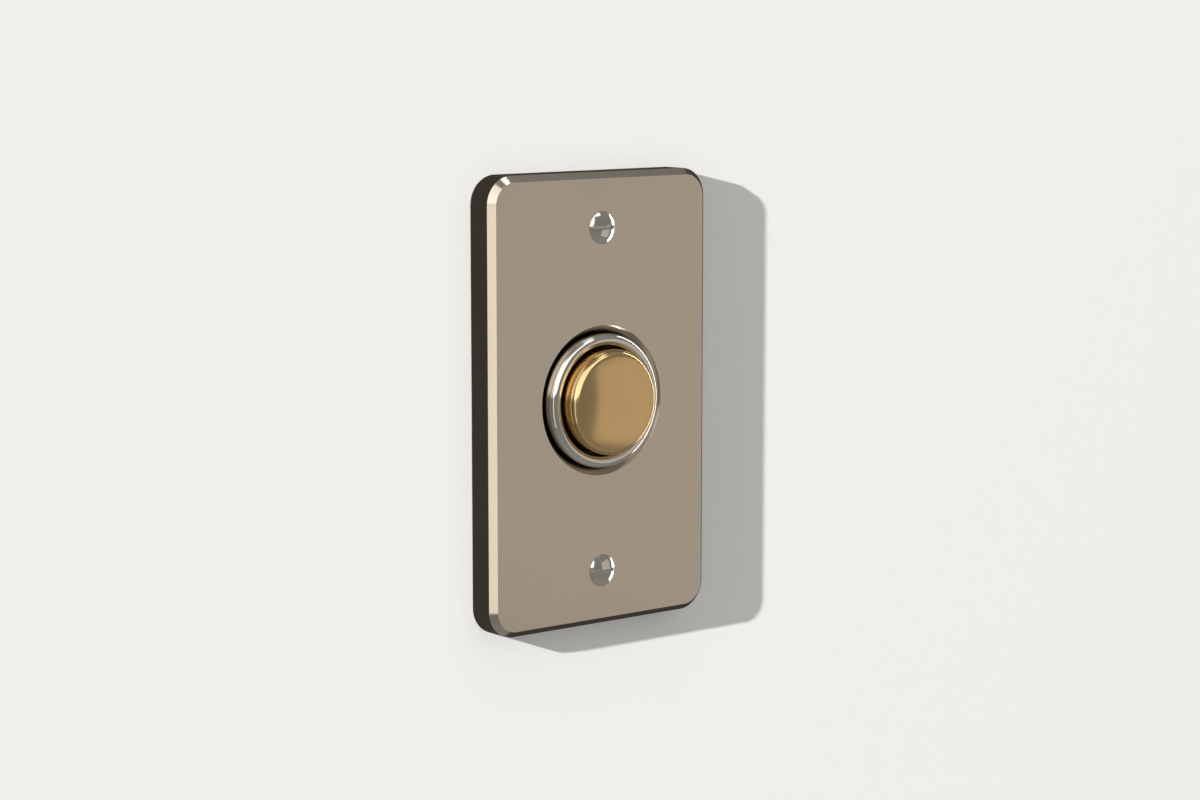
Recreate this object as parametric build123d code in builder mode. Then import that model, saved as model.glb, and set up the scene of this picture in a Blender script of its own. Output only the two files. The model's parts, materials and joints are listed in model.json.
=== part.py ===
from build123d import *
from math import radians, sqrt, tan
import os

os.makedirs("parts", exist_ok=True)

# The wall is the plane y = 0, the front of the push faces -Y and +Z is up.
# The origin is the middle of the plate's back. Heights are counted from the wall towards the front.

# Wall plate
plate_width = 45.7
plate_height = 76.2
plate_thickness = 5.6
plate_corner_radius = 4.8
plate_chamfer = 1.05
opening_radius = 11.6
opening_chamfer = 1.02

# Bezel ring, a turned collar with a bullnose front
bezel_wall = 2.1
bezel_rise = 1.35
bezel_lip_depth = 1.0
bezel_seat_width = 1.05
bezel_flange_thickness = 1.2

# Button cap, a hollow turned cap with a domed face and a stop flange
cap_rise = 4.78
cap_crown_rise = 0.99
cap_edge_radius = 1.4
cap_flange_thickness = 1.2
cap_wall = 1.3
press_travel = 1.8

# Switch body, a moulded cup with a long flange let into the plate's back
body_wall = 1.9
body_stop_width = 0.8
body_flange_thickness = 1.6
body_flange_margin = 0.6
body_ear_length = 3.8
body_floor_depth = 5.6
body_floor_thickness = 3.4
body_edge_round = 0.5
barrier_width = 1.4
barrier_length = 17.0
barrier_height = 2.4

# Plunger
plunger_head_thickness = 1.4
plunger_skirt_wall = 1.2
plunger_skirt_short = 0.3
stem_radius = 2.0
tail_radius = 1.5
tail_in_guide = 0.7
tail_chamfer = 0.3
rib_thickness = 1.0
rib_count = 4
rib_depth = 2.2

# Contacts and terminals
disc_thickness = 0.5
stud_head_size = 4.2
stud_head_thickness = 1.0
stud_head_sunk = 0.6
stud_tip_height = 1.0
stud_tip_round = 0.35
stud_shank_radius = 1.9
washer_radius = 2.6
washer_thickness = 0.3
washer_slit_count = 6
washer_slit_width = 0.35
washer_slit_share = 0.6
clamp_size = 5.8
clamp_thickness = 0.6
clamp_edge_height = 0.6

# Return spring, whose wire has eight sides
spring_wire_radius = 0.4
spring_wire_sides = 8
spring_turns = 4.5

# Screws
mount_screw_spacing = 57.8
mount_head_radius = 2.65
mount_dome_rise = 0.8
mount_head_angle = 82
mount_shank_radius = 1.42
mount_core_radius = 1.1
mount_core_length = 10.5
mount_tip_length = 3.0
mount_slot_width = 0.62
mount_slot_depth = 1.2
body_screw_spacing = 32.8
body_screw_head_radius = 1.9
body_screw_head_angle = 90
body_screw_radius = 1.0
body_screw_length = 3.8
body_screw_slot_width = 0.5
body_screw_slot_depth = 0.5
terminal_screw_radius = 1.25
terminal_head_radius = 2.3
terminal_head_height = 1.7
terminal_head_round = 0.85
terminal_screw_length = 3.2
terminal_slot_width = 0.6
terminal_slot_depth = 0.8

# Clearances
seat_gap = 0.05
loose_gap = 0.2
guide_gap = 0.1
stop_gap = 0.1
screw_hole_gap = 0.18
bezel_gap = 0.3
cap_gap = 0.35
cap_flange_gap = 0.3
spring_gap = 0.5
disc_gap = 1.0

# Radii that follow from the opening, from the plate inwards and then down the mechanism
bezel_radius = opening_radius - bezel_gap
bezel_lip_radius = bezel_radius - bezel_wall
bezel_bore_radius = bezel_lip_radius + bezel_lip_depth
bezel_flange_radius = opening_radius + bezel_seat_width
bezel_round = bezel_wall / 2
cap_radius = bezel_lip_radius - cap_gap
cap_flange_radius = bezel_bore_radius - cap_flange_gap
cap_cavity_radius = cap_radius - cap_wall
body_cavity_radius = cap_flange_radius - body_stop_width
body_radius = body_cavity_radius + body_wall
body_flange_width = 2 * (bezel_flange_radius + body_flange_margin)
body_flange_length = body_screw_spacing + 2 * body_ear_length
spring_radius = body_cavity_radius - spring_gap - spring_wire_radius
disc_radius = spring_radius - spring_wire_radius - disc_gap
stud_tip_radius = (disc_radius - washer_radius) / 2 - loose_gap
stud_offset = (disc_radius + washer_radius) / 2
washer_slit_length = washer_slit_share * (washer_radius - tail_radius)

# Heights that follow from the plate's front, the travel and the floor of the switch body
plate_front = plate_thickness
bezel_seat = body_flange_thickness + bezel_flange_thickness
bezel_crest = plate_front + bezel_rise
cap_front_height = plate_front + cap_rise
cap_flange_back = body_flange_thickness + stop_gap + press_travel
cap_flange_front = cap_flange_back + cap_flange_thickness
cap_ceiling = cap_front_height - cap_crown_rise - cap_wall
floor_height = -body_floor_depth
body_back = floor_height - body_floor_thickness
stud_seat = floor_height - stud_head_sunk
stud_face = stud_seat + stud_head_thickness + stud_tip_height
disc_back = stud_face + press_travel + stop_gap
disc_front = disc_back + disc_thickness
tail_end = floor_height - tail_in_guide
guide_depth = tail_in_guide + press_travel + loose_gap
stud_end = body_back + loose_gap
clamp_back = body_back - clamp_thickness
clamp_edge_rise = clamp_thickness + clamp_edge_height

# Planes: "wall" looks out of the wall, with local x right and local y up.
# "section" holds half a turned profile, with local x as radius and local y as height.
wall = Plane(origin=(0, 0, 0), x_dir=(1, 0, 0), z_dir=(0, -1, 0))
section = Plane(origin=(0, 0, 0), x_dir=(1, 0, 0), z_dir=(0, 0, -1))


def turning_plane(offset_x, offset_z):
    """The profile plane of a turned piece whose axis stands at this place on the wall, and that axis."""
    plane = Plane(origin=(offset_x, 0, offset_z), x_dir=(1, 0, 0), z_dir=(0, 0, -1))
    return plane, Axis((offset_x, 0, offset_z), (0, 1, 0))


def crown_drop(rim_radius, rise, reach):
    """How far a dome with this rim and rise falls below its top at a distance from the middle."""
    dome_radius = (rim_radius**2 + rise**2) / (2 * rise)
    return dome_radius - sqrt(dome_radius**2 - reach**2)


# Plate: a chamfered block with a chamfered opening, two countersunk holes and a stepped pocket behind
with BuildPart() as plate:
    with BuildSketch(wall):
        RectangleRounded(plate_width, plate_height, plate_corner_radius)
    extrude(amount=plate_thickness)
    chamfer(plate.faces().sort_by(Axis.Y)[0].edges(), plate_chamfer)
    with Locations(wall.offset(plate_front)):
        Hole(opening_radius)
        with GridLocations(0, mount_screw_spacing, 1, 2):
            CounterSinkHole(
                mount_shank_radius + screw_hole_gap,
                mount_head_radius + seat_gap,
                counter_sink_angle=mount_head_angle,
            )
    opening_rim = plate.edges().filter_by(GeomType.CIRCLE).group_by(Axis.Y)[0].sort_by(SortBy.RADIUS)[-1]
    chamfer(opening_rim, opening_chamfer)
    with BuildSketch(wall):
        SlotOverall(body_flange_length + 2 * loose_gap, body_flange_width + 2 * loose_gap, rotation=90)
    extrude(amount=body_flange_thickness, mode=Mode.SUBTRACT)
    with BuildSketch(wall.offset(body_flange_thickness)):
        Circle(bezel_flange_radius + loose_gap)
    extrude(amount=bezel_flange_thickness, mode=Mode.SUBTRACT)
    with BuildSketch(wall.offset(body_flange_thickness)):
        with GridLocations(0, body_screw_spacing, 1, 2):
            Circle(body_screw_radius + seat_gap)
    extrude(amount=body_screw_length - body_flange_thickness + loose_gap, mode=Mode.SUBTRACT)
plate.part.label = "plate"
export_step(plate.part, "parts/plate.step")

# Bezel ring: bullnose front, a lip that keeps the button in and a flange behind the plate
with BuildPart() as bezel_ring:
    with BuildSketch(section):
        with BuildLine():
            Polyline(
                (bezel_lip_radius, bezel_crest - bezel_round),
                (bezel_lip_radius, cap_flange_front),
                (bezel_bore_radius, cap_flange_front),
                (bezel_bore_radius, body_flange_thickness),
                (bezel_flange_radius, body_flange_thickness),
                (bezel_flange_radius, bezel_seat),
                (bezel_radius, bezel_seat),
                (bezel_radius, bezel_crest - bezel_round),
            )
            ThreePointArc(
                (bezel_radius, bezel_crest - bezel_round),
                (bezel_radius - bezel_round, bezel_crest),
                (bezel_lip_radius, bezel_crest - bezel_round),
            )
        make_face()
    revolve(axis=Axis.Y)
bezel_ring.part.label = "bezel_ring"
export_step(bezel_ring.part, "parts/bezel_ring.step")

# Button cap: domed face, rounded edge, hollow behind and a flange that stops against the bezel's lip
cap_shoulder = cap_front_height - cap_crown_rise
with BuildPart() as button_cap:
    with BuildSketch(section) as cap_profile:
        with BuildLine():
            ThreePointArc(
                (0, cap_front_height),
                (cap_radius / 2, cap_front_height - crown_drop(cap_radius, cap_crown_rise, cap_radius / 2)),
                (cap_radius, cap_shoulder),
            )
            Polyline(
                (cap_radius, cap_shoulder),
                (cap_radius, cap_flange_front),
                (cap_flange_radius, cap_flange_front),
                (cap_flange_radius, cap_flange_back),
                (cap_cavity_radius, cap_flange_back),
                (cap_cavity_radius, cap_ceiling),
                (0, cap_ceiling),
                (0, cap_front_height),
            )
        make_face()
        fillet(cap_profile.vertices().sort_by(Axis.Y)[-2], cap_edge_radius)
    revolve(axis=Axis.Y)
button_cap.part.label = "button_cap"
export_step(button_cap.part, "parts/button_cap.step")

# Plunger: a plug with a skirt and ribs for the cap, a long stem and a thinner tail
plug_radius = cap_cavity_radius - seat_gap
plug_back = cap_ceiling - plunger_head_thickness
skirt_inner_radius = plug_radius - plunger_skirt_wall
with BuildPart() as plunger:
    with BuildSketch(section):
        with BuildLine():
            Polyline(
                (0, cap_ceiling),
                (plug_radius, cap_ceiling),
                (plug_radius, cap_flange_back + plunger_skirt_short),
                (skirt_inner_radius, cap_flange_back + plunger_skirt_short),
                (skirt_inner_radius, plug_back),
                (stem_radius, plug_back),
                (stem_radius, disc_front),
                (tail_radius, disc_front),
                (tail_radius, tail_end),
                (0, tail_end),
                close=True,
            )
        make_face()
    revolve(axis=Axis.Y)
    rib_reach = skirt_inner_radius + plunger_skirt_wall / 2
    with BuildSketch(wall.offset(plug_back)):
        with PolarLocations(rib_reach / 2, rib_count):
            Rectangle(rib_reach, rib_thickness)
    extrude(amount=-rib_depth)
    tail_rim = plunger.edges().filter_by(GeomType.CIRCLE).group_by(Axis.Y)[-1]
    chamfer(tail_rim, tail_chamfer)
plunger.part.label = "plunger"
export_step(plunger.part, "parts/plunger.step")

# Return spring: open coils, ground flat where they meet the cap's flange and the floor
spring_length = cap_flange_back - floor_height
spring_pitch = spring_length / spring_turns
with BuildPart() as return_spring:
    with BuildLine() as coil:
        Helix(spring_pitch, spring_length, spring_radius, center=(0, -floor_height, 0), direction=(0, -1, 0))
    with BuildSketch(Plane(coil.line @ 0, z_dir=coil.line % 0)):
        RegularPolygon(spring_wire_radius, spring_wire_sides)
    sweep(path=coil.line, is_frenet=True)
    with BuildSketch(wall.offset(floor_height)):
        Circle(spring_radius + 2 * spring_wire_radius)
    extrude(amount=spring_length, mode=Mode.INTERSECT)
return_spring.part.label = "return_spring"
export_step(return_spring.part, "parts/return_spring.step")

# Contact disc: a washer seated on the plunger's shoulder
with BuildPart() as contact_disc:
    with BuildSketch(wall.offset(disc_back)):
        Circle(disc_radius)
        Circle(tail_radius + seat_gap, mode=Mode.SUBTRACT)
    extrude(amount=disc_thickness)
contact_disc.part.label = "contact_disc"
export_step(contact_disc.part, "parts/contact_disc.step")

# Lock washer: a thin push-on washer with a star of slits round its hole
with BuildPart() as lock_washer:
    with BuildSketch(wall.offset(disc_back)):
        Circle(washer_radius)
        Circle(tail_radius + seat_gap, mode=Mode.SUBTRACT)
        with PolarLocations(tail_radius + washer_slit_length / 2, washer_slit_count):
            Rectangle(washer_slit_length, washer_slit_width, mode=Mode.SUBTRACT)
    extrude(amount=-washer_thickness)
lock_washer.part.label = "lock_washer"
export_step(lock_washer.part, "parts/lock_washer.step")

# Switch body: long flange and cup, guide hole for the tail, seats for the studs and a rib between terminals
with BuildPart() as switch_body:
    with BuildSketch(wall):
        SlotOverall(body_flange_length, body_flange_width, rotation=90)
    extrude(amount=body_flange_thickness)
    with BuildSketch(wall):
        Circle(body_radius)
    extrude(amount=body_back)
    fillet(switch_body.edges().filter_by(GeomType.CIRCLE).group_by(Axis.Y)[-1], body_edge_round)
    with BuildSketch(wall.offset(body_back)):
        RectangleRounded(barrier_width, barrier_length, barrier_width / 3)
    extrude(amount=-barrier_height)
    with BuildSketch(wall.offset(floor_height)):
        Circle(body_cavity_radius)
    extrude(amount=body_flange_thickness - floor_height, mode=Mode.SUBTRACT)
    with BuildSketch(wall.offset(floor_height)):
        Circle(tail_radius + guide_gap)
    extrude(amount=-guide_depth, mode=Mode.SUBTRACT)
    with BuildSketch(wall.offset(floor_height)):
        with GridLocations(2 * stud_offset, 0, 2, 1):
            Rectangle(stud_head_size + 2 * seat_gap, stud_head_size + 2 * seat_gap)
    extrude(amount=-stud_head_sunk, mode=Mode.SUBTRACT)
    with BuildSketch(wall.offset(body_back)):
        with GridLocations(2 * stud_offset, 0, 2, 1):
            Circle(stud_shank_radius + seat_gap)
    extrude(amount=stud_seat - body_back, mode=Mode.SUBTRACT)
    with Locations(Plane(origin=(0, 0, 0), x_dir=(1, 0, 0), z_dir=(0, 1, 0))):
        with GridLocations(0, body_screw_spacing, 1, 2):
            CounterSinkHole(
                body_screw_radius + screw_hole_gap,
                body_screw_head_radius + seat_gap,
                depth=body_flange_thickness,
                counter_sink_angle=body_screw_head_angle,
            )
switch_body.part.label = "switch_body"
export_step(switch_body.part, "parts/switch_body.step")


# Contact studs: a square head that can't turn, a round contact face and a tapped shank
def contact_stud(offset):
    with BuildPart() as stud:
        with BuildSketch(wall.offset(stud_seat)):
            with Locations((offset, 0)):
                Rectangle(stud_head_size, stud_head_size)
        extrude(amount=stud_head_thickness)
        with BuildSketch(wall.offset(stud_seat + stud_head_thickness)):
            with Locations((offset, 0)):
                Circle(stud_tip_radius)
        extrude(amount=stud_tip_height)
        fillet(stud.edges().filter_by(GeomType.CIRCLE).group_by(Axis.Y)[0], stud_tip_round)
        with BuildSketch(wall.offset(stud_end)):
            with Locations((offset, 0)):
                Circle(stud_shank_radius)
        extrude(amount=stud_seat - stud_end)
        with BuildSketch(wall.offset(stud_end)):
            with Locations((offset, 0)):
                Circle(terminal_screw_radius + seat_gap)
        extrude(amount=terminal_screw_length, mode=Mode.SUBTRACT)
    return stud.part


for side, offset in (("left", -stud_offset), ("right", stud_offset)):
    stud = contact_stud(offset)
    stud.label = "contact_stud_" + side
    export_step(stud, "parts/contact_stud_" + side + ".step")

# Terminal clamps: square plates whose two turned-up edges keep the wire under the screw head
with BuildPart() as terminal_clamps:
    with BuildSketch(wall.offset(body_back)):
        with GridLocations(2 * stud_offset, 0, 2, 1):
            Rectangle(clamp_size, clamp_size)
            Circle(terminal_screw_radius + screw_hole_gap, mode=Mode.SUBTRACT)
    extrude(amount=-clamp_thickness)
    with BuildSketch(wall.offset(body_back)):
        with GridLocations(2 * stud_offset, clamp_size - clamp_thickness, 2, 2):
            Rectangle(clamp_size, clamp_thickness)
    extrude(amount=-clamp_edge_rise)
terminal_clamps.part.label = "terminal_clamps"
export_step(terminal_clamps.part, "parts/terminal_clamps.step")


# Terminal screws: slotted pan heads
def terminal_screw(offset):
    plane, axis = turning_plane(offset, 0)
    with BuildPart() as screw:
        with BuildSketch(plane):
            with BuildLine():
                Polyline(
                    (0, clamp_back + terminal_screw_length),
                    (terminal_screw_radius, clamp_back + terminal_screw_length),
                    (terminal_screw_radius, clamp_back),
                    (terminal_head_radius, clamp_back),
                    (terminal_head_radius, clamp_back - terminal_head_height),
                    (0, clamp_back - terminal_head_height),
                    close=True,
                )
            make_face()
        revolve(axis=axis)
        fillet(screw.edges().filter_by(GeomType.CIRCLE).group_by(Axis.Y)[-1], terminal_head_round)
        with BuildSketch(wall.offset(clamp_back - terminal_head_height)):
            with Locations((offset, 0)):
                Rectangle(terminal_slot_width, 3 * terminal_head_radius)
        extrude(amount=terminal_slot_depth, mode=Mode.SUBTRACT)
    return screw.part


terminal_screws = Compound(children=[terminal_screw(-stud_offset), terminal_screw(stud_offset)])
terminal_screws.label = "terminal_screws"
export_step(terminal_screws, "parts/terminal_screws.step")


# Body screws: slotted countersunk heads flush with the back of the plate
def body_screw(rise):
    plane, axis = turning_plane(0, rise)
    cone_depth = (body_screw_head_radius - body_screw_radius) / tan(radians(body_screw_head_angle / 2))
    with BuildPart() as screw:
        with BuildSketch(plane):
            with BuildLine():
                Polyline(
                    (0, 0),
                    (body_screw_head_radius, 0),
                    (body_screw_radius, cone_depth),
                    (body_screw_radius, body_screw_length),
                    (0, body_screw_length),
                    close=True,
                )
            make_face()
        revolve(axis=axis)
        with BuildSketch(wall):
            with Locations((0, rise)):
                Rectangle(3 * body_screw_head_radius, body_screw_slot_width)
        extrude(amount=body_screw_slot_depth, mode=Mode.SUBTRACT)
    return screw.part


body_screws = Compound(children=[body_screw(-body_screw_spacing / 2), body_screw(body_screw_spacing / 2)])
body_screws.label = "body_screws"
export_step(body_screws, "parts/body_screws.step")


# Mounting screws: raised countersunk slotted heads, plain shanks in the plate and thinner cores behind it
def mounting_screw(rise):
    plane, axis = turning_plane(0, rise)
    cone_depth = (mount_head_radius - mount_shank_radius) / tan(radians(mount_head_angle / 2))
    dome_middle = mount_head_radius / 2
    dome_drop = crown_drop(mount_head_radius, mount_dome_rise, dome_middle)
    with BuildPart() as screw:
        with BuildSketch(plane):
            with BuildLine():
                ThreePointArc(
                    (0, plate_front + mount_dome_rise),
                    (dome_middle, plate_front + mount_dome_rise - dome_drop),
                    (mount_head_radius, plate_front),
                )
                Polyline(
                    (mount_head_radius, plate_front),
                    (mount_shank_radius, plate_front - cone_depth),
                    (mount_shank_radius, 0),
                    (mount_core_radius, 0),
                    (mount_core_radius, -mount_core_length),
                    (0, -mount_core_length - mount_tip_length),
                    (0, plate_front + mount_dome_rise),
                )
            make_face()
        revolve(axis=axis)
        with BuildSketch(wall.offset(plate_front + mount_dome_rise)):
            with Locations((0, rise)):
                Rectangle(3 * mount_head_radius, mount_slot_width)
        extrude(amount=-mount_slot_depth, mode=Mode.SUBTRACT)
    return screw.part


mounting_screws = Compound(
    children=[mounting_screw(-mount_screw_spacing / 2), mounting_screw(mount_screw_spacing / 2)]
)
mounting_screws.label = "mounting_screws"
export_step(mounting_screws, "parts/mounting_screws.step")
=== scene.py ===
# %% [markdown]
# A doorbell push on a wall: a thick satin plate, a polished ring, a domed brass button and two screws.
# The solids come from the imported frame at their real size, in metres, with the wall at y = 0 and the
# front facing -Y. This lesson sets up a camera, a wall and plain studio light. Then it gives each piece
# the finish of the real one, and makes the two shapes that follow a helix: screw thread and spring.

import json
from math import copysign, cos, hypot, pi, radians, sin

import bmesh
import bpy
from mathutils import Matrix, Vector


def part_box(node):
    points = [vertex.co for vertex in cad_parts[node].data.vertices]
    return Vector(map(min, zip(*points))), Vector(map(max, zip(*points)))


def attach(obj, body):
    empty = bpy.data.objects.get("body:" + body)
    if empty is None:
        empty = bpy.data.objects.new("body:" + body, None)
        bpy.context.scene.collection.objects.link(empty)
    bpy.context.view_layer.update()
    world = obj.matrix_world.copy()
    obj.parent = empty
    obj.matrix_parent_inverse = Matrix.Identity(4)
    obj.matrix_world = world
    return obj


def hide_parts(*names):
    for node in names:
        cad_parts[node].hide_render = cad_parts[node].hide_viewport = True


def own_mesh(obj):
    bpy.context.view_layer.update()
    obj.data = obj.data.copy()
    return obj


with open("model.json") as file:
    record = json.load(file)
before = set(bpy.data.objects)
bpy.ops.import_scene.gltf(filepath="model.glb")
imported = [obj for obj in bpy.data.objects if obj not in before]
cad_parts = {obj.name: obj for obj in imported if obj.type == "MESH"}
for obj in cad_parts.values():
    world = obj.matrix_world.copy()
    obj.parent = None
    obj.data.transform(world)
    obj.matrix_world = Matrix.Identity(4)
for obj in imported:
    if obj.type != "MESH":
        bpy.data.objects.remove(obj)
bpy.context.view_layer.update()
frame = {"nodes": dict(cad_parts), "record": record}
nodes = frame["nodes"]
mm = 0.001
screw_spacing = 57.8

# %% [markdown]
# The camera stands to the left of the push and a little above it, about half a metre away, as for a
# catalogue picture. It could be placed by eye and turned by hand. Here it is placed by a direction, a
# distance and a point to look at, because these three are easy to read and to change.

# %% Camera
photo_width = 1200
focal_pixels = 2845.85
view_target = Vector((0, -5, 0)) * mm
view_direction = Vector((0.61514, 0.77634, -0.13751)).normalized()
view_distance = 475.98 * mm

camera_data = bpy.data.cameras.new("camera")
camera_data.sensor_width = 36
camera_data.lens = focal_pixels / photo_width * camera_data.sensor_width
camera_data.clip_start = 10 * mm
camera = bpy.data.objects.new("camera", camera_data)
camera.location = view_target - view_direction * view_distance
camera.rotation_euler = view_direction.to_track_quat("-Z", "Y").to_euler()
bpy.context.scene.collection.objects.link(camera)
bpy.context.scene.camera = camera
bpy.context.scene.view_settings.view_transform = "Standard"
print("lens:", round(camera_data.lens, 1), "mm")

# %% [markdown]
# A finish is a small network of nodes. Written out node by node it is long and hard to read, so one class
# wraps a socket: sums and products of sockets add their Math nodes by themselves. Its method "add" makes
# any other node, from the node's type, its settings and what goes into its sockets.


# %% Sockets that can be added and multiplied
class Wire:
    def __init__(self, tree, socket=None):
        self.tree = tree
        self.socket = socket

    def feed(self, target, value):
        if isinstance(value, Wire):
            self.tree.links.new(value.socket, target)
        else:
            target.default_value = value

    def add(self, kind, settings=None, inputs=None, output=0):
        node = self.tree.nodes.new(kind)
        for name, value in (settings or {}).items():
            setattr(node, name, value)
        for name, value in (inputs or {}).items():
            self.feed(node.inputs[name], value)
        return Wire(self.tree, node.outputs[output] if len(node.outputs) else None)

    def maths(self, operation, first, second=0.0):
        return self.add("ShaderNodeMath", {"operation": operation}, {0: first, 1: second})

    def __add__(self, other):
        return self.maths("ADD", self, other)

    def __sub__(self, other):
        return self.maths("SUBTRACT", self, other)

    def __rsub__(self, other):
        return self.maths("SUBTRACT", other, self)

    def __mul__(self, other):
        return self.maths("MULTIPLY", self, other)

    def __truediv__(self, other):
        return self.maths("DIVIDE", self, other)

    __radd__ = __add__

    def step(self, low, high):
        """0 below low, 1 above high, and smooth between them."""
        settings = {"interpolation_type": "SMOOTHSTEP"}
        return self.add("ShaderNodeMapRange", settings, {"Value": self, "From Min": low, "From Max": high})

    def below(self, low, high):
        """1 below low, 0 above high, and smooth between them."""
        return 1.0 - self.step(low, high)


print("class Wire is ready")

# %% [markdown]
# The push hangs on a smooth pale wall, which is plain paint here. The wall has a hole just inside the
# plate's outline, as a real wall has a hole for the works, only larger. Its back face lets light and sight
# through, so that the works can be seen from behind, as on a bench. It lies a hair behind the plate's back,
# because two faces in one plane would fight over the light. It could be a square with a hole cut in it.
# Here it is a ring of quads from the hole's outline to far outside, which needs no cutting.

# %% Wall
wall_reach = 2.2
wall_y = 0.05 * mm
hole_inset = 0.1 * mm
hole_corner = 4.7 * mm
hole_steps = 64

plate_low, plate_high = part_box("plate")
hole_x = (plate_high[0] - plate_low[0]) / 2 - hole_inset - hole_corner
hole_z = (plate_high[2] - plate_low[2]) / 2 - hole_inset - hole_corner
wall_points, wall_faces = [], []
for i in range(hole_steps):
    turn = 2 * pi * (i + 0.5) / hole_steps
    x = copysign(hole_x, cos(turn)) + hole_corner * cos(turn)
    z = copysign(hole_z, sin(turn)) + hole_corner * sin(turn)
    far = wall_reach / hypot(x, z)
    wall_points += [(x, wall_y, z), (x * far, wall_y, z * far)]
    near, after = 2 * i, 2 * ((i + 1) % hole_steps)
    wall_faces.append((near, near + 1, after + 1, after))

wall_mesh = bpy.data.meshes.new("wall")
wall_mesh.from_pydata(wall_points, [], wall_faces)
wall = bpy.data.objects.new("wall", wall_mesh)
bpy.context.scene.collection.objects.link(wall)
print("wall normal:", tuple(wall_mesh.polygons[0].normal))

# %% [markdown]
# The paint is matt, with a very fine grain. In the metal the wall shows as a painted dark reflection, as if a
# black sheet stood beside a catalogue subject, because the sides of the plate are nearly black in such a
# picture. A Light Path node can tell a ray that comes from shiny metal, and a mix of two shaders answers it
# with a dark tone, painted in place of the lit paint.

# %% Wall paint
wall_colour = (0.871, 0.871, 0.858, 1)
wall_painted_reflection = (0.062, 0.056, 0.047, 1)
wall_grain = {"Scale": 900.0, "Detail": 4.0}
wall_bump = {"Strength": 0.03, "Distance": 0.1 * mm}

wall_paint = bpy.data.materials.new("wall_paint")
wall_paint.use_nodes = True
wall_tree = wall_paint.node_tree
wall_tree.nodes.clear()
paint = Wire(wall_tree)
place = paint.add("ShaderNodeTexCoord", output="Object")
grain = paint.add("ShaderNodeTexNoise", {}, {"Vector": place, **wall_grain})
bump = paint.add("ShaderNodeBump", {}, {"Height": grain, **wall_bump})
matt = paint.add("ShaderNodeBsdfDiffuse", {}, {"Color": wall_colour, "Normal": bump})
clear = paint.add("ShaderNodeBsdfTransparent")
behind = paint.add("ShaderNodeNewGeometry", output="Backfacing")
# Painted reflection: rays from the metal see a dark tone instead of the lit wall paint.
mirrored = paint.add("ShaderNodeLightPath", output="Is Glossy Ray")
dark = paint.add("ShaderNodeEmission", {}, {"Color": wall_painted_reflection})
face = paint.add("ShaderNodeMixShader", {}, {0: mirrored, 1: matt, 2: dark})
sheet = paint.add("ShaderNodeMixShader", {}, {0: behind, 1: face, 2: clear})
paint.add("ShaderNodeOutputMaterial", {}, {"Surface": sheet})
wall_mesh.materials.append(wall_paint)
print("wall paint has", len(wall_tree.nodes), "nodes")

# %% [markdown]
# A small hard lamp, quite near at the left, draws the crisp shadow on the wall. The shadow spreads, as from
# a near lamp, but the wall is evenly lit, as from a far one. A sun lamp would give only the second. So this
# is a point lamp whose strength doesn't fall with the distance but grows with it: what reaches the wall at
# a slant and from farther away is then as bright as what lies close by.

# %% Key lamp
key_energy = 111
key_size = 6 * mm
key_place = (-0.589, -0.182, 0.177)

key_data = bpy.data.lights.new("key_lamp", "POINT")
key_data.energy = key_energy
key_data.shadow_soft_size = key_size
key_data.use_nodes = True
key_data.node_tree.nodes.clear()
beam = Wire(key_data.node_tree)
way = beam.add("ShaderNodeLightPath", output="Ray Length")
even = beam.add("ShaderNodeLightFalloff", {}, {"Strength": way}, output="Constant")
glow = beam.add("ShaderNodeEmission", {}, {"Strength": even})
beam.add("ShaderNodeOutputLight", {}, {"Surface": glow})
key_lamp = bpy.data.objects.new("key_lamp", key_data)
key_lamp.location = key_place
key_lamp.visible_glossy = False
bpy.context.scene.collection.objects.link(key_lamp)
print("key_lamp at", key_place)


# %% [markdown]
# Metal shows what stands round it, so the rest of the light is a set of plain panels. Each has a place, a
# size and a brightness. Most are for the metal only, as a photographer's cards are: they show in it and
# leave matt surfaces alone. The others light only what is matt. The brightness is that of the panel's face,
# so a panel can be made larger without growing brighter.


# %% Panels
def soft_panel(name, place, size, brightness, colour, shows, facing=None):
    """A panel at a place in metres. It shows in the metal, or else it lights what is matt."""
    data = bpy.data.lights.new(name, "AREA")
    data.shape = "RECTANGLE"
    data.size, data.size_y = size
    data.energy = brightness * pi * size[0] * size[1]
    data.color = colour
    panel = bpy.data.objects.new(name, data)
    panel.location = place
    panel.rotation_euler = (facing or -Vector(place)).to_track_quat("-Z", "Y").to_euler()
    panel.visible_camera = False
    panel.visible_glossy = shows
    panel.visible_diffuse = not shows
    bpy.context.scene.collection.objects.link(panel)
    print(name, "at", [round(v, 3) for v in panel.location])
    return data


def shade_upwards(data, soft_edge, fall):
    """Gives a panel a soft lower edge, and lets its brightness fall towards the top."""
    data.use_nodes = True
    data.node_tree.nodes.clear()
    card = Wire(data.node_tree)
    place = card.add("ShaderNodeNewGeometry", output="Parametric")
    share = card.add("ShaderNodeSeparateXYZ", {}, {"Vector": place}, output="Y")
    level = share.step(0.0, soft_edge) * (1.0 - share.step(soft_edge, 1.0) * fall)
    glow = card.add("ShaderNodeEmission", {}, {"Strength": level})
    card.add("ShaderNodeOutputLight", {}, {"Surface": glow})


def towards(angle_right, angle_up, distance):
    """The point at these angles from the front, to the right and up, as seen from the push."""
    right, up = radians(angle_right), radians(angle_up)
    return Vector((sin(right) * cos(up), -cos(right) * cos(up), sin(up))) * distance


print("panels are ready")

# %% [markdown]
# In front, a wide panel fills the shadow. A large card above left gives the long highlights on the ring and
# the button, with a soft lower edge so that they fade out. Cards above draw the small glints at the top. A
# warm card at the right fills the flat of the plate, a narrow one lights its left bevel, and a tall thin one
# at the far right draws bright rims. Two cards and a fill behind the wall are for the view of the back.

# %% Lamps
white, ivory, cream, beige = (1, 1, 1), (1.0, 0.985, 0.96), (1.0, 0.935, 0.82), (1.0, 0.875, 0.74)
into_wall = Vector((0, 1, 0))
to_plate = Vector((-0.67, 0.74, 0))
to_bevel = Vector((0.8, 0.6, 0))

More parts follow.
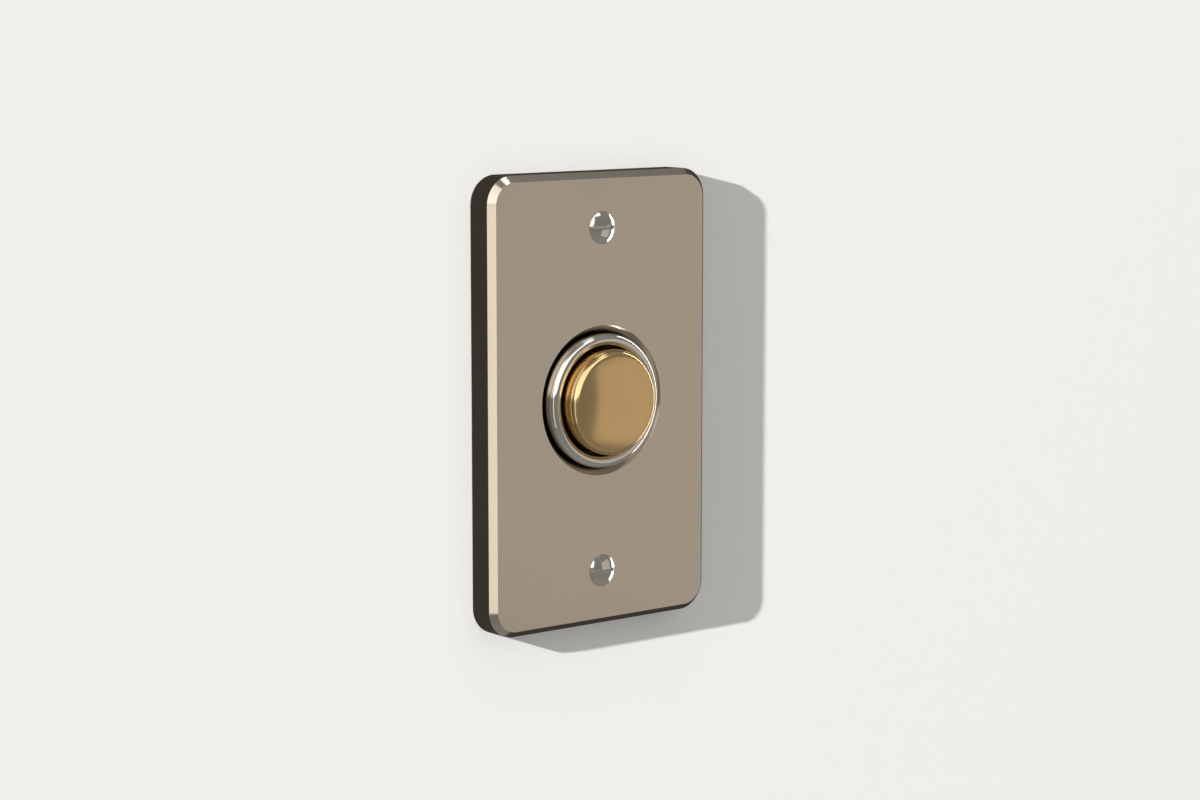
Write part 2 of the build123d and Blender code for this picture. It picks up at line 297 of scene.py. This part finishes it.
soft_panel("fill_panel", (-0.9, -0.8, 0.9), (3.6, 3.6), 0.31, white, False, into_wall)
left_card = soft_panel("left_card", towards(-47.5, 32, 1.2), (1.75, 1.35), 1.5, ivory, True)
shade_upwards(left_card, soft_edge=0.10, fall=0.25)
soft_panel("upper_card", towards(14, 48.5, 1.2), (0.6, 0.34), 1.4, ivory, True)
soft_panel("warm_card", (0.131, -0.138, -0.023), (0.143, 0.130), 0.325, beige, True, to_plate)
soft_panel("bevel_card", (-0.069, -0.042, -0.0083), (0.012, 0.0884), 1.14, cream, True, to_bevel)
soft_panel("right_card", towards(85.5, 3, 1.2), (0.09, 1.7), 9.0, white, True)
soft_panel("top_card", towards(40, 69, 1.2), (0.35, 0.2), 2.0, white, True)
soft_panel("rear_card", towards(180, -4, 0.8), (0.46, 0.4), 2.0, white, True)
soft_panel("rear_top_card", towards(180, 76, 0.8), (0.8, 0.3), 2.0, white, True)
soft_panel("rear_fill", towards(190, 25, 1.4), (1.4, 1.4), 1.0, white, False)

# %% [markdown]
# Between the panels the metal reflects the room, which is one mid grey all round, a little lighter towards
# the ceiling and the floor. It could be a picture of a studio, but plain grey is enough, because the panels
# already give every highlight.

# %% Room
room_grey = (0.230, 0.226, 0.216, 1)
room_rise = 0.35

world = bpy.data.worlds.new("room")
bpy.context.scene.world = world
world.use_nodes = True
world.node_tree.nodes.clear()
room = Wire(world.node_tree)
sight = room.add("ShaderNodeTexCoord", output="Generated")
rise = room.add("ShaderNodeSeparateXYZ", {}, {"Vector": sight}, output="Z")
level = 1.0 + rise * rise * room_rise
room.add("ShaderNodeOutputWorld", {}, {
    "Surface": room.add("ShaderNodeBackground", {}, {"Color": room_grey, "Strength": level})})
print("room grey:", room_grey)


# %% [markdown]
# Each finish starts from one Principled shader. A helper makes the material, hands out the coordinates of
# the piece in millimetres, and joins colour, roughness and bump to the shader. The coordinates belong to the
# object itself, so a pattern stays on the metal when the button moves.


# %% Finish helper
class Finish:
    def __init__(self, name, **constants):
        self.material = bpy.data.materials.new(name)
        self.material.use_nodes = True
        tree = self.material.node_tree
        self.shader = tree.nodes["Principled BSDF"]
        self.wire = Wire(tree)
        for socket, value in constants.items():
            self.shader.inputs[socket.replace("_", " ")].default_value = value
        place = self.wire.add("ShaderNodeTexCoord", output="Object")
        inputs = {0: place, "Scale": 1 / mm}
        self.place = self.wire.add("ShaderNodeVectorMath", {"operation": "SCALE"}, inputs)

    def noise(self, scale, detail=3.0, stretch=(1, 1, 1)):
        spot = self.wire.add("ShaderNodeMapping", {}, {"Vector": self.place, "Scale": stretch})
        return self.wire.add("ShaderNodeTexNoise", {}, {"Vector": spot, "Scale": scale, "Detail": detail})

    def height(self):
        """Height in front of the wall."""
        return self.wire.add("ShaderNodeSeparateXYZ", {}, {"Vector": self.place}, output="Y") * -1.0

    def radius(self, middle=0.0):
        """Distance from an axis along Y, which is the push's own or one above or below it."""
        inputs = {"Vector": self.place, "Location": (0, 0, -middle), "Scale": (1, 0, 1)}
        spot = self.wire.add("ShaderNodeMapping", {}, inputs)
        return self.wire.add("ShaderNodeVectorMath", {"operation": "LENGTH"}, {0: spot}, output="Value")

    def mix(self, amount, first, second):
        ends = [(*end, 1) if isinstance(end, tuple) else end for end in (first, second)]
        inputs = {"Factor": amount, 6: ends[0], 7: ends[1]}
        return self.wire.add("ShaderNodeMix", {"data_type": "RGBA"}, inputs, output=2)

    def bump(self, height, depth):
        inputs = {"Height": height, "Strength": 1.0, "Distance": depth * mm}
        return self.wire.add("ShaderNodeBump", {}, inputs)

    def join(self, **sockets):
        for socket, value in sockets.items():
            self.wire.feed(self.shader.inputs[socket.replace("_", " ")], value)
        return self.material


print("class Finish is ready")

# %% [markdown]
# The plate is nickel, brushed very lightly and then buffed, so its flat shows one even tone and its bevels
# stay crisp. It could be one grey with a fixed roughness, but real satin has a fine grain that breaks up the
# light, and small slow changes of tone. Two sizes of noise give both. The grain also drives a shallow bump.
# Behind, where nobody looks, the casting is only linished, so it is rougher. The three holes are painted
# nearly black, a painted shade for the dark inside them, and sleeves and dusters have rubbed the arrises a
# little paler here and there.


# %% Satin nickel
opening_edge, opening_depth = (11.5, 11.7), (4.2, 4.7)
screw_hole_edge, screw_hole_depth = (2.6, 2.72), (5.2, 5.58)
lower_arris = (4.46, 4.54), (4.56, 4.64)
upper_arris = (5.50, 5.57), (5.585, 5.597)
plate_back = (0.05, 0.4)


def satin_nickel():
    finish = Finish("satin_nickel", Metallic=1.0)
    cloud = finish.noise(0.08, 2.0)
    grain = finish.noise(9.0, 3.0, (1, 1, 0.35))
    height = finish.height()
    tone = finish.mix(cloud.step(0.35, 0.65), (0.606, 0.551, 0.476), (0.614, 0.558, 0.481))
    # Painted shade: the opening round the ring and the two screw holes are darkened to nearly black.
    hole_shade = finish.radius().below(*opening_edge) * height.below(*opening_depth)
    for middle in (-screw_spacing / 2, screw_spacing / 2):
        screw_hole_shade = finish.radius(middle).below(*screw_hole_edge) * height.below(*screw_hole_depth)
        hole_shade = finish.wire.maths("MAXIMUM", hole_shade, screw_hole_shade)
    tone = finish.mix(hole_shade, tone, (0.040, 0.035, 0.028))
    lower, upper = (height.step(*start) * height.below(*end) for start, end in (lower_arris, upper_arris))
    worn = (lower + upper) * finish.noise(0.6, 4.0).step(0.35, 0.65)
    tone = finish.mix(worn * 0.6, tone, (0.74, 0.70, 0.64))
    back = height.below(*plate_back)
    rough = 0.11 + grain * 0.05 + cloud * 0.02 + back * 0.3 + worn * 0.1
    return finish.join(Base_Color=tone, Roughness=rough, Normal=finish.bump(grain, 0.0004))


print("satin_nickel is ready")

# %% [markdown]
# The ring and the screws are polished and plated. Up close the polish has faint marks from the buff, and a
# few patches that are a little duller. Shade is painted where the light hardly reaches: in the narrow gaps
# beside the ring the plating is painted nearly black, and the slots of the screws are painted grey. These
# places are found from the distance to the middle and the height in front of the wall, so the painted shade
# lies in them and nowhere else.


# %% Polished nickel
outer_gap_edge, outer_gap_depth = (10.9, 11.2), (4.5, 5.3)
inner_gap_edge, inner_gap_depth = (9.25, 9.6), (4.8, 5.6)
slot_floor, slot_rim, slot_shade = (2.0, 3.0), (5.35, 5.6), 0.28


def polished_nickel(name, dull, in_gap):
    finish = Finish(name, Metallic=1.0)
    reach, height = finish.radius(), finish.height()
    smear = finish.noise(0.35, 4.0)
    lines = finish.noise(30.0, 2.0, (0.05, 1, 0.05))
    tone = finish.mix(smear, (0.710, 0.680, 0.632), (0.750, 0.720, 0.672))
    # Painted shade: the gaps beside the ring and the screw slots are darkened.
    if in_gap:
        outside = reach.step(*outer_gap_edge) * height.below(*outer_gap_depth)
        inside = reach.below(*inner_gap_edge) * height.below(*inner_gap_depth)
        painted_shade = finish.wire.maths("MAXIMUM", outside, inside)
    else:
        painted_shade = height.step(*slot_floor) * height.below(*slot_rim) * slot_shade
    tone = finish.mix(painted_shade, tone, (0.030, 0.026, 0.021))
    rough = dull + smear.step(0.45, 0.8) * 0.05 + painted_shade * 0.4
    return finish.join(Base_Color=tone, Roughness=rough, Normal=finish.bump(lines, 0.0006))


print("polished_nickel is ready")

# %% [markdown]
# The button is brass, turned on a lathe and buffed, so there are very fine rings round its middle. One colour
# would look like plastic. Fingers keep the middle bright, and the edge, where they don't reach, has gone
# slightly duller and darker. The side that slides in the ring is painted dark, a painted shade for the narrow
# gap round it.


# %% Polished brass
ring_fineness = 14.0
dull_edge, tarnished_edge = (6.5, 9.0), (8.2, 9.2)
shaded_side = (5.6, 6.6)


def polished_brass():
    finish = Finish("polished_brass", Metallic=1.0)
    reach, height = finish.radius(), finish.height()
    cloud = finish.noise(0.25, 3.0)
    inputs = {"W": reach * ring_fineness, "Detail": 2.0}
    rings = finish.wire.add("ShaderNodeTexNoise", {"noise_dimensions": "1D"}, inputs)
    bright = finish.mix(cloud.step(0.3, 0.7), (0.765, 0.540, 0.262), (0.790, 0.555, 0.270))
    tone = finish.mix(reach.step(*tarnished_edge) * 0.35, bright, (0.62, 0.46, 0.24))
    edge = (reach + cloud * 3.0).step(*dull_edge)
    # Painted shade: the side of the button in the gap is darkened.
    painted_shade = height.below(*shaded_side)
    tone = finish.mix(painted_shade, tone, (0.045, 0.030, 0.016))
    return finish.join(Base_Color=tone, Roughness=0.12 + cloud * 0.04 + edge * 0.03 + painted_shade * 0.25,
                       Normal=finish.bump(rings, 0.0003))


print("polished_brass is ready")

# %% [markdown]
# The hidden pieces have plainer finishes: nylon as it comes from the mould, drawn spring wire, rolled bronze,
# black moulding powder, machined brass and zinc plate. One cell makes them all, since each is a base tone, a
# second tone and a grain of its own size.


# %% Finishes of the works
def plain_finish(name, metallic, first, second, rough, patch, grain, depth):
    finish = Finish(name, Metallic=metallic)
    blotch = finish.noise(patch, 4.0)
    fine = finish.noise(grain, 3.0)
    tone = finish.mix(blotch.step(0.35, 0.7), first, second)
    return finish.join(Base_Color=tone, Roughness=rough + fine * 0.12, Normal=finish.bump(fine, depth))


looks = {
    "natural_nylon": plain_finish(
        "natural_nylon", 0.0, (0.80, 0.77, 0.68), (0.72, 0.69, 0.60), 0.40, 0.3, 4.0, 0.01),
    "spring_steel": plain_finish(
        "spring_steel", 1.0, (0.42, 0.42, 0.43), (0.33, 0.33, 0.35), 0.22, 0.8, 12.0, 0.004),
    "contact_bronze": plain_finish(
        "contact_bronze", 1.0, (0.78, 0.46, 0.28), (0.60, 0.36, 0.24), 0.24, 0.5, 8.0, 0.004),
    "black_moulding": plain_finish(
        "black_moulding", 0.0, (0.018, 0.018, 0.019), (0.030, 0.029, 0.028), 0.38, 0.6, 6.0, 0.02),
    "terminal_brass": plain_finish(
        "terminal_brass", 1.0, (0.78, 0.56, 0.27), (0.66, 0.46, 0.21), 0.24, 0.7, 10.0, 0.004),
    "zinc_steel": plain_finish(
        "zinc_steel", 1.0, (0.62, 0.63, 0.64), (0.52, 0.54, 0.58), 0.30, 0.8, 9.0, 0.006),
    "satin_nickel": satin_nickel(),
    "polished_nickel": polished_nickel("screw_nickel", 0.10, False),
    "polished_brass": polished_brass(),
}
slots = {part["node"]: part["material_slot"] for part in frame["record"]["subparts"]}
for name, piece in nodes.items():
    for place in piece.material_slots:
        place.material = looks[slots[name]]
print("finishes:", sorted(looks))

# %% [markdown]
# The plate keeps the form of its solid exactly. Only the shading needs care: on a surface this smooth a flat
# must have one normal all over, or faint triangles show in it. So a copy of its mesh has its points merged,
# and its normals are made again, with every real edge kept sharp.


# %% Plate
def dressed(piece, node, body):
    bpy.context.scene.collection.objects.link(piece)
    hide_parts(node)
    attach(piece, body)
    print(piece.name, len(piece.data.polygons), "faces")


merge_distance = 0.001 * mm
sharp_angle = radians(20)

plate_form = bmesh.new()
plate_form.from_mesh(nodes["plate"].data)
bmesh.ops.remove_doubles(plate_form, verts=plate_form.verts, dist=merge_distance)
plate_mesh = bpy.data.meshes.new("plate_flat")
plate_form.to_mesh(plate_mesh)
plate_form.free()
plate_mesh.attributes.remove(plate_mesh.attributes["custom_normal"])
plate_mesh.shade_smooth()
plate_mesh.set_sharp_from_angle(angle=sharp_angle)
plate_mesh.materials.append(looks["satin_nickel"])
dressed(bpy.data.objects.new("plate_flat", plate_mesh), "plate", "wall_unit")

# %% [markdown]
# The ring and the button are turned on a lathe, and they are the two pieces whose reflections the eye
# follows. Their solids come as coarse facets, so each is turned again here from its profile, with many more
# steps round. A profile is a loop of radius and height in millimetres. Round corners are arcs in it.


# %% Turned pieces
def arc(middle, radius, start, end, steps):
    """Points of a round corner. Angles are in degrees from straight out along the radius."""
    angles = [radians(start + (end - start) * i / steps) for i in range(steps + 1)]
    return [(middle[0] + radius * cos(a), middle[1] + radius * sin(a)) for a in angles]


def turned(name, profile, node, body, material, steps=256):
    points, faces, rows = [], [], []
    for reach, height in profile:
        count = steps if reach > 1e-6 else 1
        rows.append([len(points) + i % count for i in range(steps)])
        for i in range(count):
            turn = 2 * pi * i / count
            points.append((reach * cos(turn) * mm, -height * mm, reach * sin(turn) * mm))
    for first, second in zip(rows, rows[1:] + rows[:1]):
        for i in range(steps):
            corners = [first[i], first[i - 1], second[i - 1], second[i]]
            corners = list(dict.fromkeys(corners))
            if len(corners) > 2:
                faces.append(corners)
    mesh = bpy.data.meshes.new(name)
    mesh.from_pydata(points, [], faces)
    mesh.shade_smooth()
    mesh.set_sharp_from_angle(angle=radians(30))
    mesh.materials.append(material)
    dressed(bpy.data.objects.new(name, mesh), node, body)


ring_bore, ring_outer, ring_flange, flange_room = 9.2, 11.3, 12.65, 10.2
ring_back, ring_shoulder, flange_stop, round_height = 1.6, 2.8, 4.7, 5.9
ring_round = (ring_outer - ring_bore) / 2
ring_profile = [(ring_bore, flange_stop), (flange_room, flange_stop), (flange_room, ring_back),
                (ring_flange, ring_back), (ring_flange, ring_shoulder), (ring_outer, ring_shoulder)]
ring_profile += arc((ring_bore + ring_round, round_height), ring_round, 0, 180, steps=40)
turned("ring_turned", ring_profile, "bezel_ring", "wall_unit", polished_nickel("ring_nickel", 0.05, True))

# %% [markdown]
# The button's face is a shallow dome that runs into a round edge. The dome is a slice of a large ball. Its
# radius and the round edge touch without a corner, so the arcs end at the same slope.

# %% Button
cap_side, cap_hollow, cap_flange = 8.85, 7.55, 9.9
flange_back, hollow_top, edge_height = 3.5, 8.09, 8.255
dome_radius = 40.052
edge_radius = 1.4
dome_top = 10.38
dome_slope = 11.113
cap_profile = [(0, hollow_top), (cap_hollow, hollow_top), (cap_hollow, flange_back),
               (cap_flange, flange_back), (cap_flange, flange_stop), (cap_side, flange_stop)]
cap_profile += arc((cap_side - edge_radius, edge_height), edge_radius, 0, 90 - dome_slope, steps=24)
cap_profile += arc((0, dome_top - dome_radius), dome_radius, 90 - dome_slope, 90, steps=48)[1:]
turned("button_turned", cap_profile, "button_cap", "push", looks["polished_brass"])

# %% [markdown]
# A screw thread and a coil spring are both a wire that follows a helix. On the real ones the thread is rolled
# into the blank and the spring is wound round a rod. Both could be swept by hand, but a helix is a rule, so
# Geometry Nodes makes it: a line of points is bent into a helix by its share of the way, and a wire section
# runs along it. The same tree serves both, with other numbers. "Close" draws the end turns of the spring
# together, and "taper" and "over" thin the thread towards the screw's point.


# %% Helix by rule
helix_numbers = ["turns", "radius", "length", "close", "taper", "over", "depth", "width", "sides",
                 "start", "copies", "spacing"]

helix_tree = bpy.data.node_groups.new("helix", "GeometryNodeTree")
for label in helix_numbers:
    helix_tree.interface.new_socket(label, in_out="INPUT", socket_type="NodeSocketFloat")
helix_tree.interface.new_socket("finish", in_out="INPUT", socket_type="NodeSocketMaterial")
helix_tree.interface.new_socket("mesh", in_out="OUTPUT", socket_type="NodeSocketGeometry")
helix = Wire(helix_tree)
given = helix_tree.nodes.new("NodeGroupInput").outputs
given = {socket.name: Wire(helix_tree, socket) for socket in given if socket.name}
print("helix takes", len(given), "inputs")

# %% [markdown]
# First the path. Each point's share of the way gives its turn, its height and how thin the wire is there.
# The tree works round Z, because curve normals have a mode that keeps a section upright along Z.

# %% Path of the helix
line = helix.add("GeometryNodeCurvePrimitiveLine")
line = helix.add("GeometryNodeResampleCurve", {}, {"Curve": line, "Count": 600})
share = helix.add("GeometryNodeSplineParameter", output="Factor")
turn = share * given["turns"] * (2 * pi)
wave = helix.maths("SINE", share * (2 * pi)) / (2 * pi)
height = given["start"] + (share - wave * given["close"]) * given["length"]
thin = helix.maths("MINIMUM", (given["over"] - share) * given["taper"], 1.0)
reach = given["radius"] * thin
spot = {"X": reach * helix.maths("COSINE", turn), "Y": reach * helix.maths("SINE", turn), "Z": height}
spot = helix.add("ShaderNodeCombineXYZ", {}, spot)
path = helix.add("GeometryNodeSetPosition", {}, {"Geometry": line, "Position": spot})
path = helix.add("GeometryNodeSetCurveNormal", {"mode": "Z_UP"}, {"Curve": path})
path = helix.add("GeometryNodeSetCurveRadius", {}, {"Curve": path, "Radius": thin})
print("path has", len(helix_tree.nodes), "nodes")

# %% [markdown]
# Then the section of the wire runs along the path, a row of points carries the copies, and the copies become
# one mesh with its finish.

# %% Wire along the path
section = helix.add("GeometryNodeCurvePrimitiveCircle", {}, {"Resolution": given["sides"], "Radius": 1.0})
stretch = helix.add("ShaderNodeCombineXYZ", {}, {"X": given["depth"], "Y": given["width"], "Z": 1.0})
section = helix.add("GeometryNodeTransform", {}, {"Geometry": section, "Scale": stretch})
wire = helix.add("GeometryNodeCurveToMesh", {}, {"Curve": path, "Profile Curve": section, "Fill Caps": True})
step = helix.add("ShaderNodeCombineXYZ", {}, {"Y": given["spacing"]})
first = helix.add("ShaderNodeCombineXYZ", {}, {"Y": given["spacing"] * (given["copies"] - 1.0) * -0.5})
inputs = {"Count": given["copies"], "Start Location": first, "Offset": step}
row = helix.add("GeometryNodeMeshLine", {}, inputs)
copies = helix.add("GeometryNodeInstanceOnPoints", {}, {"Points": row, "Instance": wire})
whole = helix.add("GeometryNodeRealizeInstances", {}, {"Geometry": copies})
whole = helix.add("GeometryNodeSetMaterial", {}, {"Geometry": whole, "Material": given["finish"]})
helix.add("NodeGroupOutput", {}, {"mesh": whole})
print("helix tree has", len(helix_tree.nodes), "nodes")


# %% [markdown]
# A helper hands the numbers to the tree, takes the finished mesh out of it and turns it from Z to Y, so that
# it points into the wall. What is left is a plain mesh with no modifier.


# %% Mesh from the tree
def wound(name, finish, **numbers):
    carrier = bpy.data.objects.new(name, bpy.data.meshes.new(name))
    bpy.context.scene.collection.objects.link(carrier)
    modifier = carrier.modifiers.new("helix", "NODES")
    modifier.node_group = helix_tree
    for socket in helix_tree.interface.items_tree:
        if socket.in_out == "INPUT":
            modifier[socket.identifier] = finish if socket.name == "finish" else float(numbers[socket.name])
    graph = bpy.context.evaluated_depsgraph_get()
    mesh = bpy.data.meshes.new_from_object(carrier.evaluated_get(graph))
    carrier.modifiers.clear()
    mesh.transform(Matrix.Rotation(radians(-90), 4, "X") @ Matrix.Scale(mm, 4))
    mesh.shade_smooth()
    mesh.set_sharp_from_angle(angle=radians(40))
    mesh.name = name
    carrier.data = mesh
    print(name, len(mesh.polygons), "faces")
    return carrier


print("the tree can be wound")

# %% [markdown]
# The two mounting screws have a thread on the part that goes into the wall. The blank's core is 1.1 mm in
# radius and the ridge stands as high as the plain shank. It starts a little behind the plate and thins out
# on the point.

# %% Screw threads
thread = wound("screw_threads", looks["polished_nickel"], turns=10.5, radius=1.1, length=11.4, close=0,
               taper=3.8, over=1.0965, depth=0.32, width=0.27, sides=4, start=1.0, copies=2,
               spacing=screw_spacing)
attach(thread, "wall_unit")

# %% [markdown]
# The return spring is drawn steel wire, wound with its end turns nearly closed so that it stands square on
# the floor of the switch body and under the button's flange. The real one gets shorter as the button goes in:
# pressed, it keeps about four fifths of its length. Here it rides with the wall unit and keeps its length.

# %% Return spring
spring = wound("spring_coil", looks["spring_steel"], turns=5.5, radius=8.2, length=8.3, close=0.45,
               taper=1, over=2, depth=0.4, width=0.4, sides=16, start=-3.1, copies=1, spacing=0)
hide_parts("return_spring")
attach(spring, "wall_unit")
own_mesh(spring)
